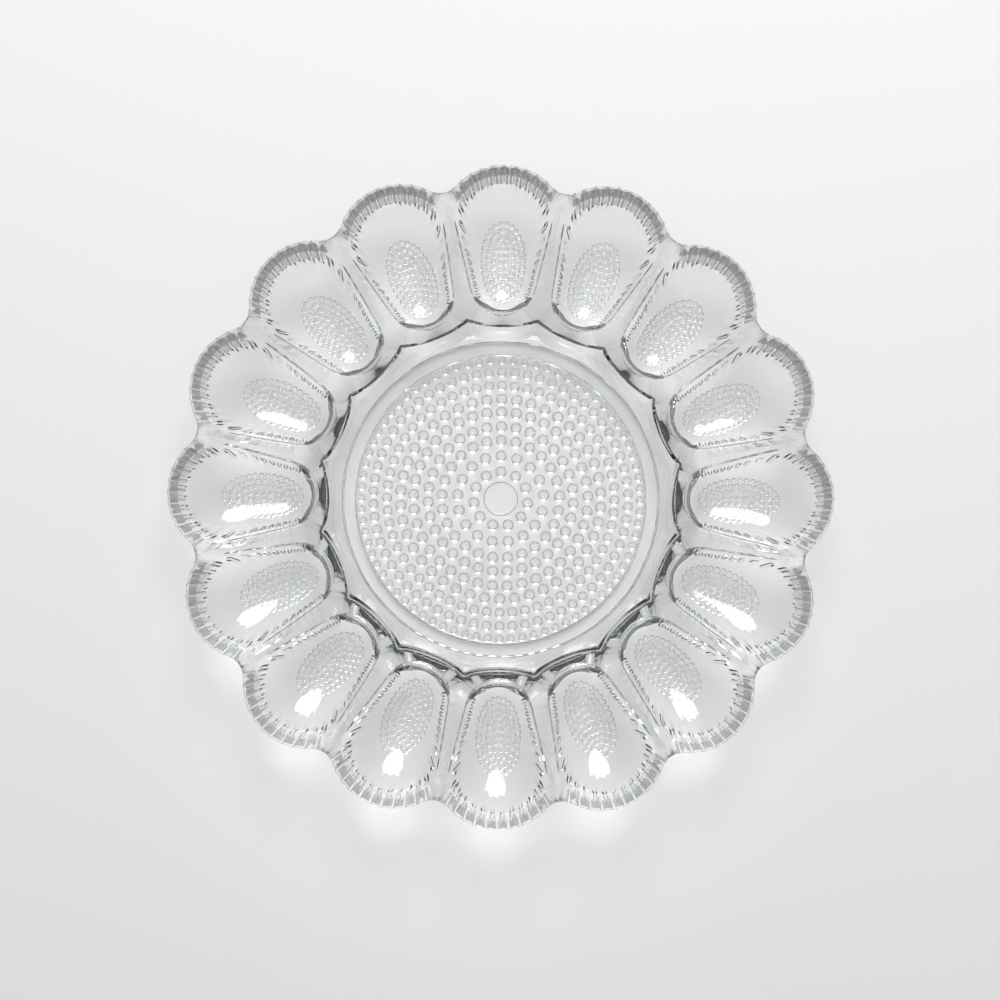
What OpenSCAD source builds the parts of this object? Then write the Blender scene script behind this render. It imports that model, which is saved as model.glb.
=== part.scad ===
// Round platter of clear pressed glass with a ring of egg cups and a hobnail centre.
// The glass is one pressing. It is given here as its regions, which meet face to face.
// Origin: centre of the circle that the foot ring rests on. +Z is up, and cup 1 lies on +Y.

/* [Platter] */
// Diameter over the crests of the rim's lobes
plate_d = 305; // [285:1:340]
// Height from the table to the rim's crests
plate_h = 30; // [27:0.5:34]
// Thickness of the pressed glass
glass_t = 4.4; // [3.6:0.1:5]
// Fall of the land between the cups, from the rim down to the well
land_fall = 8; // [5:0.5:10]
// How far the valleys between the lobes lie inside the circle over the crests
valley_in = 10.5; // [8:0.5:12]

/* [Well] */
// Distance across the flats of the well's floor
floor_af = 148.4; // [140:0.2:150]
// Height of the well's floor above the table
floor_z = 7.5; // [6.8:0.1:9]
// How far the well's wall leans out between its foot and its top
wall_lean = 3.7; // [2:0.1:5]
// Radius of each bowed facet of the well's wall, at its foot
facet_r = 67; // [55:1:90]
// Diameter of the plain disc in the middle of the hobnails
disc_d = 15.8; // [10:0.2:16]
// Height of the plain disc under the floor
disc_h = 0.6; // [0.3:0.1:1]

/* [Foot ring] */
// Distance from the flats of the floor in to the middle of the foot ring
foot_in = 3.9; // [3.4:0.1:5]
// Width of the foot ring where it joins the floor
foot_w = 6.6; // [4:0.1:7]
// How far each side of the foot ring slants in on its way down
foot_side = 0.4; // [0.2:0.1:1.2]

/* [Egg cups] */
// Number of egg cups round the rim
cup_count = 16; // [15:1:17]
// Radius of each lobe of the rim
lobe_r = 30.2; // [29:0.1:32]
// Width of the rim between a cup's mouth and the edge of its lobe
rim_w = 4.7; // [4:0.1:5.6]
// Depth of the edge band along the rim
rim_t = 3; // [2:0.1:4]
// Depth of the round outer part of a cup below the rim
bowl_depth = 18; // [15:0.5:19]
// Radius of the cup's round inner end
tip_r = 15.4; // [14:0.1:16]
// Distance from the flats of the floor out to the inner end's centre
tip_out = 24.6; // [24:0.1:27]
// Radius of the cup's flank where it meets the round outer part
flank_r = 24.4; // [23:0.1:25]
// Distance from the inner end's centre to where the flank is measured
flank_run = 33.7; // [32:0.1:36]
// Height of the flank's middle line above the land there
flank_rise = 6.8; // [5:0.1:8]

/* [Rim flutes] */
// Number of flutes on each lobe of the rim, an even number so that a ridge lies on the crest
flute_count = 10; // [8:2:12]
// Angle between neighbouring flutes, seen from the lobe's centre
flute_step = 10.2; // [9.8:0.1:10.4]
// Radius of the gouge that cuts a flute
flute_r = 5; // [4.4:0.1:6]
// Depth of a flute at the rim's top
flute_depth = 0.6; // [0.3:0.05:0.7]
// Lean of a flute from the upright, following the cup's outer wall
flute_lean = 24; // [18:1:28]

/* [Centre hobnails] */
// Radius of the first ring of centre hobnails
ring_first_r = 12.6; // [12:0.1:14]
// Distance from the middle of the foot ring in to the last ring of centre hobnails
ring_last_in = 5.6; // [5.4:0.1:8]
// Number of rings of centre hobnails
ring_count = 9; // [7:1:9]
// Clear space between two rings of large hobnails, at their average distance
ring_clear = 1.1; // [1:0.05:2]
// Height of the large hobnails
hob_h = 1.8; // [1.2:0.1:2.2]
// Clear space between neighbouring large hobnails along a ring
hob_clear = 1.45; // [1:0.05:1.8]

/* [Hidden] */
$fn = 48;
over = plate_h / 30;
cup_step = 360 / cup_count;
plate_r = plate_d / 2;
valley_r = plate_r - valley_in;
floor_r = floor_af / 2;
foot_r = floor_r - foot_in;
under_z = floor_z - glass_t;
wall_top_r = floor_r + wall_lean;
lobe_u = plate_r - lobe_r;
mouth_r = lobe_r - rim_w;
bowl_r = (mouth_r * mouth_r + bowl_depth * bowl_depth) / (2 * bowl_depth);
bowl_z = plate_h - bowl_depth + bowl_r;
far_r = plate_r + lobe_r;
tip_u = floor_r + tip_out;
land_slope = land_fall / (plate_r - wall_top_r);
tip_z = land_z(tip_u);
land_angle = atan(land_slope);
flank_tilt = land_angle + atan(flank_rise / flank_run);
flank_len = norm([flank_run / cos(land_angle), flank_rise]);
flare = asin((flank_r - tip_r) / flank_len);
tip_arc_steps = 12;
wall_slope = wall_lean / (land_z(wall_top_r) - floor_z);
ring_last_r = foot_r - ring_last_in;
hob_d = (ring_last_r - ring_first_r) / (ring_count - 1) - ring_clear;

// How far the floor's edge runs in under the well's wall, as a share of the glass
floor_edge_share = 0.9;

// The rings of centre hobnails draw closer together outwards, and their hobnails get smaller and closer.
ring_gap_shares = [0, 1.14, 1.12, 0.98, 1.04, 0.92, 0.97, 0.97, 0.86];
ring_size_shares = [1, 1, 1, 1, 1, 1, 0.9, 0.9, 0.72];
ring_pitch_shares = [1.06, 1.07, 1, 1, 1, 1.01, 0.87, 0.87, 0.78];

function cup_name(i) = str("egg_cup_", i < 10 ? "0" : "", i);

// Height of the land at a distance r from the plate's centre
function land_z(r) = plate_h - land_slope * (plate_r - r);

function sum_to(list, last, i = 0) = i > last ? 0 : list[i] + sum_to(list, last, i + 1);

// Radius of a ring of centre hobnails, numbered from 0 at the inside
function ring_r(i) = ring_first_r + (ring_last_r - ring_first_r)
    * sum_to(ring_gap_shares, i) / sum_to(ring_gap_shares, ring_count - 1);

// Outline of a cup's long form beside its middle line, grown by t: a round end and a straight flank
function long_form(t) = let (q = tip_r + t, reach = 2 * flank_len) concat(
    [for (k = [0 : tip_arc_steps])
        let (a = -90 + (90 - flare) * k / tip_arc_steps) q * [k == 0 ? 0 : cos(a), sin(a)]],
    [[q / cos(flare) + reach * tan(flare), reach], [0, reach]]
);

// Radius of a ball whose cap is d wide and h high
function cap_r(d, h) = (d * d / 4 + h * h) / (2 * h);

// A cup's long form, lying on its tilted middle line and grown by t
module long_body(t) {
    translate([0, tip_u, tip_z])
        rotate([flank_tilt - 90, 0, 0])
            rotate_extrude() polygon(long_form(t));
}

// The round outer part of a cup, grown by t: a ball that runs on inwards as a trough under the long form
module round_body(t) {
    r = bowl_r + t;
    translate([0, lobe_u, bowl_z])
        rotate([flank_tilt - 90, 0, 0])
            rotate_extrude() {
                intersection() {
                    circle(r = r);
                    square(2 * r);
                }
                translate([0, -2 * r]) square([r, 2 * r]);
            }
}

// A cup's whole form, grown by t: the long form, ended by the round outer part
module cup_form(t) {
    intersection() {
        round_body(t);
        long_body(t);
    }
}

// One bay's share of the plate, from the flat of the well's floor outwards
module bay_wedge() {
    half = tan(cup_step / 2);
    translate([0, 0, -over])
        linear_extrude(plate_h + 2 * over)
            polygon([
                [-floor_r * half, floor_r],
                [floor_r * half, floor_r],
                [far_r * half, far_r],
                [-far_r * half, far_r]
            ]);
}

// Everything below the land, which rises like a shallow cone towards the rim
module below_land() {
    rotate_extrude()
        polygon([
            [floor_r / 2, under_z],
            [far_r, under_z],
            [far_r, land_z(far_r)],
            [floor_r / 2, land_z(floor_r / 2)]
        ]);
}

// Everything behind one facet of the well's wall, drawn in by t. A cone gives the facet its bow.
module behind_facet(t) {
    foot = facet_r - t + wall_slope * (floor_z + over);
    top = facet_r - t - wall_slope * (plate_h + over - floor_z);
    translate([0, floor_r + facet_r, -over]) {
        cylinder(h = plate_h + 2 * over, r1 = foot, r2 = top);
        translate([-far_r, 0, 0]) cube([2 * far_r, far_r, plate_h + 2 * over]);
    }
}

// The web of glass under the land, out to the lobe's edge and the valleys beside it
module land_web() {
    intersection() {
        rotate_extrude()
            polygon([
                [floor_r, land_z(floor_r) - rim_t],
                [far_r, land_z(far_r) - rim_t],
                [far_r, land_z(far_r) + over],
                [floor_r, land_z(floor_r) + over]
            ]);
        union() {
            cylinder(h = plate_h + over, r = valley_r);
            translate([0, lobe_u, 0]) cylinder(h = plate_h + over, r = lobe_r);
        }
    }
}

module well_facet() {
    difference() {
        behind_facet(0);
        behind_facet(glass_t);
    }
}

// The floor's edge, which fills the corners between the flats of the floor and the bowed facets
module floor_edge() {
    translate([0, 0, under_z]) cylinder(h = glass_t, r = floor_r + floor_edge_share * glass_t);
}

module rim_flutes() {
    for (j = [0 : flute_count - 1])
        translate([0, lobe_u, plate_h])
            rotate([0, 0, (j - (flute_count - 1) / 2) * flute_step])
                translate([0, lobe_r + flute_r - flute_depth, 0])
                    rotate([-flute_lean, 0, 0])
                        translate([0, 0, -plate_h])
                            cylinder(h = plate_h + 4 * over, r = flute_r);
}

module egg_cup(i) {
    color([0.87, 0.90, 0.90])
        rotate([0, 0, (1 - i) * cup_step])
            difference() {
                intersection() {
                    bay_wedge();
                    below_land();
                    union() {
                        intersection() {
                            behind_facet(0);
                            union() {
                                cup_form(glass_t);
                                land_web();
                                well_facet();
                            }
                        }
                        floor_edge();
                    }
                }
                cup_form(0);
                rim_flutes();
            }
}

module floor_outline() {
    corner = floor_r / cos(cup_step / 2);
    polygon([for (i = [0 : cup_count - 1]) let (a = (i + 0.5) * cup_step) corner * [sin(a), cos(a)]]);
}

module centre_floor() {
    color([0.86, 0.89, 0.89]) {
        translate([0, 0, under_z]) linear_extrude(glass_t) floor_outline();
        translate([0, 0, under_z - disc_h]) cylinder(h = disc_h, r1 = disc_d / 2 - disc_h, r2 = disc_d / 2);
    }
}

// A low dome with its flat side up
module hobnail(d, h) {
    r = cap_r(d, h);
    rotate_extrude()
        intersection() {
            translate([0, r - h]) circle(r = r);
            translate([0, -h]) square([d, h]);
        }
}

module centre_hobnails() {
    color([0.80, 0.84, 0.84])
        for (i = [0 : ring_count - 1]) {
            size = ring_size_shares[i];
            count = round(2 * PI * ring_r(i) / ((hob_d + hob_clear) * ring_pitch_shares[i]));
            for (j = [0 : count - 1])
                rotate([0, 0, 360 * j / count])
                    translate([0, ring_r(i), under_z]) hobnail(hob_d * size, hob_h * size);
        }
}

module foot_ring() {
    color([0.83, 0.87, 0.87])
        rotate_extrude()
            translate([foot_r, 0])
                polygon([
                    [-foot_w / 2, under_z],
                    [foot_side - foot_w / 2, 0],
                    [foot_w / 2 - foot_side, 0],
                    [foot_w / 2, under_z]
                ]);
}

centre_floor();
centre_hobnails();
foot_ring();
for (i = [1 : cup_count])
    egg_cup(i);
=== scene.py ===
"""Deviled egg platter of clear pressed glass: sixteen egg cups round a hobnail well.

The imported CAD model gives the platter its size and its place. The glass is shown as one closed
mesh, because light bends from face to face and any joint inside the glass would show as a seam.
Lengths are in metres. In a bay's own frame X runs across it, Y outwards along its middle, Z up.
"""

import logging
import math
from dataclasses import dataclass, field
from enum import Enum
from typing import Callable, Iterable

import bmesh
import bpy
from bmesh.types import BMEdge, BMesh, BMVert
from mathutils import Matrix, Vector

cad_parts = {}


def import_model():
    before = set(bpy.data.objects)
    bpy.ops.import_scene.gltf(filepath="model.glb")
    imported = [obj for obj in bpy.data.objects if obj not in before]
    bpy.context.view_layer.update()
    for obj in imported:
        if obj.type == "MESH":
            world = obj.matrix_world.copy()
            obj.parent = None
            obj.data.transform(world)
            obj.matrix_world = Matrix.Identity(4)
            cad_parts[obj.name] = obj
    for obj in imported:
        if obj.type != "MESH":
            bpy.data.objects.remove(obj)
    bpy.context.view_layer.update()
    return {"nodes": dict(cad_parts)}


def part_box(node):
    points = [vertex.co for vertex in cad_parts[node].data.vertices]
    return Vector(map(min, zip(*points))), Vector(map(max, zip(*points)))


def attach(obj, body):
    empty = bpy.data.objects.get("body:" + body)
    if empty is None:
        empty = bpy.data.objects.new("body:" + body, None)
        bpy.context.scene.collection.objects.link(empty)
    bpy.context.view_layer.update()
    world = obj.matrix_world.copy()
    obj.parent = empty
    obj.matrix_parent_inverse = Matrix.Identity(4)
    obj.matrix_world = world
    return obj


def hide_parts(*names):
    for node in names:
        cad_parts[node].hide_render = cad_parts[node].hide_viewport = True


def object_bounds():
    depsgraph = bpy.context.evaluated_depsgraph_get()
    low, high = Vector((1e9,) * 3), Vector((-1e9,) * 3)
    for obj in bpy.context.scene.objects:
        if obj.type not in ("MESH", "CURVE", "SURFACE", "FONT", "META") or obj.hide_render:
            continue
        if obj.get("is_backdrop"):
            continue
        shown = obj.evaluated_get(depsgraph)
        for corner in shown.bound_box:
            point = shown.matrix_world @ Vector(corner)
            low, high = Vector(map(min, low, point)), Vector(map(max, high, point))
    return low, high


LOG = logging.getLogger("egg_platter")
MM = 0.001
FULL_TURN = 2 * math.pi
UP = Vector((0, 0, 1))
WELD = 0.003 * MM
GRAIN = "grain"
ZERO_STEPS = 24
TRACK_STEPS = 48
OVAL_STEPS = 180
SLOPE_STEPS = 96
FAR = 70 * MM
PROBE = 0.2 * MM
SMALL_TURN = 0.001

Row = list[Vector]
Line = list[BMVert]
Around = list[tuple["Spoke", int]]
Shares = tuple[float, ...]
Steps = tuple[tuple[float, float], ...]
Colour = tuple[float, float, float, float]
Socket = bpy.types.NodeSocket
Outputs = bpy.types.bpy_prop_collection


def plan_ahead(angle: float) -> Vector:
    """Level direction at an angle from Y."""
    return Vector((math.sin(angle), math.cos(angle), 0))


def share_of(value: float, start: float, stop: float) -> float:
    """Share of the way from start to stop at which a value lies, kept between 0 and 1."""
    return min(max((value - start) / (stop - start), 0), 1)


def smooth_least(first: float, second: float, blend: float) -> float:
    """Lesser of two lengths, rounded downwards where they differ by less than the blend."""
    near = max(blend - abs(first - second), 0.0) / blend
    return min(first, second) - near * near * blend / 4


def zero_between(low: float, high: float, value: Callable[[float], float]) -> float:
    """Finds where a value that is positive at low turns negative before high.

    Args:
        low: Place where the value is positive.
        high: Place where the value is negative.
        value: The value at a place.

    Returns:
        The place of the zero.
    """
    for _ in range(ZERO_STEPS):
        middle = (low + high) / 2
        if value(middle) > 0:
            low = middle
        else:
            high = middle
    return (low + high) / 2


@dataclass(frozen=True)
class PlateSizes:
    """Sizes of the platter as a whole. The first six come from the frame."""

    plate_r: float
    plate_h: float
    floor_r: float
    floor_z: float
    under_z: float
    cup_count: int
    glass_t: float = 4.4 * MM
    land_fall: float = 8 * MM
    valley_in: float = 10.5 * MM
    wall_lean: float = 3.7 * MM
    facet_r: float = 67 * MM
    lobe_r: float = 30.2 * MM
    rim_t: float = 3 * MM

    @classmethod
    def from_frame(cls, nodes: Iterable[str]) -> "PlateSizes":
        """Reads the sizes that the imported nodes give.

        Args:
            nodes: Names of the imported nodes.

        Returns:
            The platter's sizes.
        """
        cups = sum(name.startswith("egg_cup_") for name in nodes)
        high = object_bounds()[1]
        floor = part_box("centre_floor")[1]
        return cls(high.y, high.z, floor.y, floor.z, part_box("foot_ring")[1].z, cups)

    @property
    def half_step(self) -> float:
        """Half the angle of a bay."""
        return math.pi / self.cup_count

    @property
    def lobe_y(self) -> float:
        """Distance of a lobe's centre from the plate's centre."""
        return self.plate_r - self.lobe_r

    @property
    def valley_r(self) -> float:
        """Radius of the rim between the lobes."""
        return self.plate_r - self.valley_in

    @property
    def land_slope(self) -> float:
        """Rise of the land for each unit outwards."""
        return self.land_fall / (self.plate_r - self.floor_r - self.wall_lean)

    @property
    def top_bow(self) -> float:
        """Radius of a facet's bow where the wall meets the land."""
        return self.bow_r(self.plate_h - self.land_fall)

    @property
    def side_ahead(self) -> Vector:
        """Level direction of the side between two bays."""
        return plan_ahead(self.half_step)

    @property
    def facet_y(self) -> float:
        """Distance from the plate's centre to the centre of a facet's bow."""
        return self.floor_r + self.facet_r

    def land_z(self, x: float, y: float) -> float:
        """Height of the land at a place in a bay's frame."""
        return self.plate_h - self.land_slope * (self.plate_r - math.hypot(x, y))

    def bow_r(self, z: float) -> float:
        """Radius of a facet's bow at a height."""
        slope = self.wall_lean / (self.plate_h - self.land_fall - self.floor_z)
        return self.facet_r - slope * (z - self.floor_z)

    def bow_half(self, radius: float) -> float:
        """Measures a bow across a bay.

        Args:
            radius: Radius of the bow.

        Returns:
            Half its width between the sides of the bay.
        """
        reach = self.facet_y * math.cos(self.half_step)
        drop = self.facet_y * math.sin(self.half_step)
        return (reach - math.sqrt(radius**2 - drop**2)) * math.sin(self.half_step)

    def bow_spot(self, radius: float, share: float, z: float) -> Vector:
        """Place on a level bow across a bay, at a share of its half width from -1 to 1."""
        x = self.bow_half(radius) * share
        return Vector((x, self.facet_y - math.sqrt(radius**2 - x**2), z))


@dataclass
class CupForm:
    """Form of one egg cup: a cone with a round tip, ended by a round outer part."""

    plate: PlateSizes
    rim_w: float = 4.7 * MM
    bowl_depth: float = 18 * MM
    tip_r: float = 15.4 * MM
    tip_out: float = 24.6 * MM
    flank_r: float = 24.4 * MM
    flank_run: float = 33.7 * MM
    flank_rise: float = 6.8 * MM
    blend: float = 2.6 * MM
    tip_y: float = field(init=False)
    tip_z: float = field(init=False)
    tilt: float = field(init=False)
    flare: float = field(init=False)
    bowl_r: float = field(init=False)
    bowl_z: float = field(init=False)

    def __post_init__(self) -> None:
        """Works out the places and angles that follow from the sizes."""
        mouth_r = self.plate.lobe_r - self.rim_w
        slope = math.atan(self.plate.land_slope)
        self.tip_y = self.plate.floor_r + self.tip_out
        self.tip_z = self.plate.land_z(0, self.tip_y)
        self.tilt = slope + math.atan(self.flank_rise / self.flank_run)
        length = math.hypot(self.flank_run / math.cos(slope), self.flank_rise)
        self.flare = math.asin((self.flank_r - self.tip_r) / length)
        self.bowl_r = (mouth_r**2 + self.bowl_depth**2) / (2 * self.bowl_depth)
        self.bowl_z = self.plate.plate_h - self.bowl_depth + self.bowl_r

    def _on_axis(self, y: float, z: float) -> tuple[float, float]:
        """Turns an offset into one along the cup's tilted axis and one square to it."""
        c, s = math.cos(self.tilt), math.sin(self.tilt)
        return y * c + z * s, z * c - y * s

    def depth_inside(self, spot: Vector, grow: float) -> float:
        """Tells how deep a place lies inside the cup's form.

        Args:
            spot: Place in the bay's frame.
            grow: How far the form is grown beyond the hollow.

        Returns:
            The depth, which is negative outside.
        """
        along, off = self._on_axis(spot.y - self.tip_y, spot.z - self.tip_z)
        off = math.hypot(off, spot.x)
        tip = self.tip_r + grow
        if along < -tip * math.sin(self.flare):
            long_form = tip - math.hypot(along, off)
        else:
            long_form = tip + (along * math.tan(self.flare) - off) * math.cos(self.flare)
        along, off = self._on_axis(spot.y - self.plate.lobe_y, spot.z - self.bowl_z)
        off = math.hypot(off, spot.x)
        round_part = self.bowl_r + grow - (math.hypot(along, off) if along > 0 else off)
        return smooth_least(long_form, round_part, self.blend)

    def height_under(self, x: float, y: float, grow: float) -> float:
        """Finds the underside of the grown form.

        Args:
            x: Place across the bay.
            y: Place along the bay's middle.
            grow: How far the form is grown beyond the hollow.

        Returns:
            The height of the underside there.
        """
        return zero_between(
            self.plate.land_z(x, y),
            -self.plate.plate_h,
            lambda z: self.depth_inside(Vector((x, y, z)), grow),
        )


class Edge(Enum):
    """What a spoke of the glass runs out to at the edge of its bay."""

    LIP = "the lip of the rim"
    SIDE = "the side of the bay"
    WELL = "the wall of the well"


@dataclass
class Spoke:
    """One upright cut through a bay, from the fan's centre in the cup out to the bay's edge."""

    angle: float
    scallop: float = 0.0
    divider: float | None = None
    groove: float = 0.0
    top_edge: Edge = Edge.SIDE
    under_edge: Edge = Edge.SIDE

    @property
    def ahead(self) -> Vector:
        """Direction of the spoke in plan."""
        return plan_ahead(self.angle)


class Track:
    """A line of places, walked by shares of its length."""

    def __init__(self, spots: Row) -> None:
        """Measures the line.

        Args:
            spots: Places along the line, close together.
        """
        self.spots = spots
        self.marks = [0.0]
        for before, after in zip(spots, spots[1:]):
            self.marks.append(self.marks[-1] + (after - before).length)

    @property
    def length(self) -> float:
        """Length of the whole line."""
        return self.marks[-1]

    def walk(self, share: float) -> tuple[Vector, Vector]:
        """Gives the place and the direction at a share of the length.

        Args:
            share: Share of the length, from 0 to 1.

        Returns:
            The place and the line's direction there.
        """
        goal = share * self.length
        i = 1
        while i < len(self.marks) - 1 and self.marks[i] < goal:
            i += 1
        step = max(self.marks[i] - self.marks[i - 1], 1e-12)
        part = (goal - self.marks[i - 1]) / step
        spot = self.spots[i - 1].lerp(self.spots[i], part)
        return spot, (self.spots[i] - self.spots[i - 1]).normalized()


def strand(mesh: BMesh, verts: Line, closed: bool) -> list[BMEdge]:
    """Edges that join vertices in their order, and also the last to the first if closed."""
    ends = verts[1:] + verts[:1] if closed else verts[1:]
    return [mesh.edges.get(pair) for pair in zip(verts, ends)]


def extrude(mesh: BMesh, edges: list[BMEdge]) -> tuple[set[BMVert], list[BMEdge]]:
    """Extrudes edges in place.

    Args:
        mesh: Mesh to extend.
        edges: The edges.

    Returns:
        The new vertices, and the new edges that run along the old ones.
    """
    made = bmesh.ops.extrude_edge_only(mesh, edges=edges)["geom"]
    verts = {item for item in made if isinstance(item, BMVert)}
    return verts, [item for item in made if isinstance(item, BMEdge) and set(item.verts) <= verts]


def grow(mesh: BMesh, rows: list[Line], spots: list[Row], closed: bool) -> list[Line]:
    """Extrudes strands of vertices, all at once, and sets the new ones at their places.

    Args:
        mesh: Mesh to extend.
        rows: Vertices of each strand in order.
        spots: Places of each strand's new vertices in the same order.
        closed: Whether the strands are rings.

    Returns:
        The new vertices of each strand in order.
    """
    fresh = extrude(mesh, [edge for row in rows for edge in strand(mesh, row, closed)])[0]
    grown = []
    for row, places in zip(rows, spots):
        line = []
        for vert, spot in zip(row, places):
            ends = (edge.other_vert(vert) for edge in vert.link_edges)
            twin = next(end for end in ends if end in fresh)
            twin.co = spot
            line.append(twin)
        grown.append(line)
    return grown


def grow_lines(mesh: BMesh, verts: Line, lines: list[Row], start: int, closed: bool) -> Line:
    """Extrudes a strand of vertices step by step along a line of places for each of them.

    Args:
        mesh: Mesh to extend.
        verts: Vertices of the strand in order.
        lines: Places of each vertex's line in the same order.
        start: Number of the first place that is still to be made.
        closed: Whether the strand is a ring.

    Returns:
        The last vertices in order.
    """
    for k in range(start, len(lines[0])):
        verts = grow(mesh, [verts], [[line[k] for line in lines]], closed)[0]
    return verts


def circle(mesh: BMesh, segments: int, radius: float, centre: Vector) -> Line:
    """Makes a level circle.

    Args:
        mesh: Mesh to extend.
        segments: How many edges it has.
        radius: Its radius.
        centre: Its centre.

    Returns:
        The vertices in order round the circle.
    """
    place = Matrix.Translation(centre)
    made = bmesh.ops.create_circle(mesh, segments=segments, radius=radius, matrix=place)
    return sorted(
        made["verts"], key=lambda vert: math.atan2(vert.co.y - centre.y, vert.co.x - centre.x)
    )


def ring(mesh: BMesh, spots: Row) -> Line:
    """Makes a closed ring of vertices from a circle.

    Args:
        mesh: Mesh to extend.
        spots: Places of the vertices in order.

    Returns:
        The vertices in order.
    """
    verts = circle(mesh, len(spots), MM, Vector((0, 0, 0)))
    for vert, spot in zip(verts, spots):
        vert.co = spot
    return verts


def show(name: str, data: bpy.types.ID) -> bpy.types.Object:
    """Adds an object to the scene.

    Args:
        name: Name of the object.
        data: What it shows.

    Returns:
        The object.
    """
    shown = bpy.data.objects.new(name, data)
    bpy.context.scene.collection.objects.link(shown)
    return shown


def show_mesh(name: str, mesh: BMesh, material: bpy.types.Material) -> bpy.types.Object:
    """Adds a finished mesh to the scene and frees what it was built in.

    Args:
        name: Name of the object and its data.
        mesh: The finished mesh.
        material: Its material.

    Returns:
        The object.
    """
    data = bpy.data.meshes.new(name)
    mesh.to_mesh(data)
    mesh.free()
    data.materials.append(material)
    return show(name, data)


@dataclass
class Hobnail:
    """One low dome on the underside of the glass."""

    centre: Vector
    outward: Vector
    radius: float
    height: float

    def rise(self, share: float) -> float:
        """Height of the dome, a ball's cap, at a share of its radius."""
        ball = (self.radius**2 + self.height**2) / (2 * self.height)
        return math.sqrt(ball**2 - (share * self.radius) ** 2) - (ball - self.height)


@dataclass(frozen=True)
class HobnailField:
    """A patch of ground under the glass, set with hobnails."""

    segments: int
    ring_shares: Shares

    def lay(
        self,
        mesh: BMesh,
        border: list[BMEdge],
        hobs: list[Hobnail],
        ground: Callable[[Vector], float],
    ) -> None:
        """Fills the ground between a border and the hobnails, then raises them.

        Args:
            mesh: Mesh to extend.
            border: Edges round the patch.
            hobs: The hobnails.
            ground: Height of the ground at a place.
        """
        feet = []
        for hob in hobs:
            foot = circle(mesh, self.segments, hob.radius, hob.centre)
            for vert in foot:
                vert.co.z = ground(vert.co)
            feet.append(foot)
        edges = border + [edge for foot in feet for edge in strand(mesh, foot, True)]
        bmesh.ops.triangle_fill(mesh, edges=edges, use_beauty=True, use_dissolve=False, normal=UP)
        rows = feet
        starts = [[vert.co.copy() for vert in foot] for foot in feet]
        for share in self.ring_shares + (0.0,):
            spots = []
            for start, hob in zip(starts, hobs):
                lift = hob.outward * hob.rise(share)
                spots.append([hob.centre.lerp(foot, share) + lift for foot in start])
            rows = grow(mesh, rows, spots, True)


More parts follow.
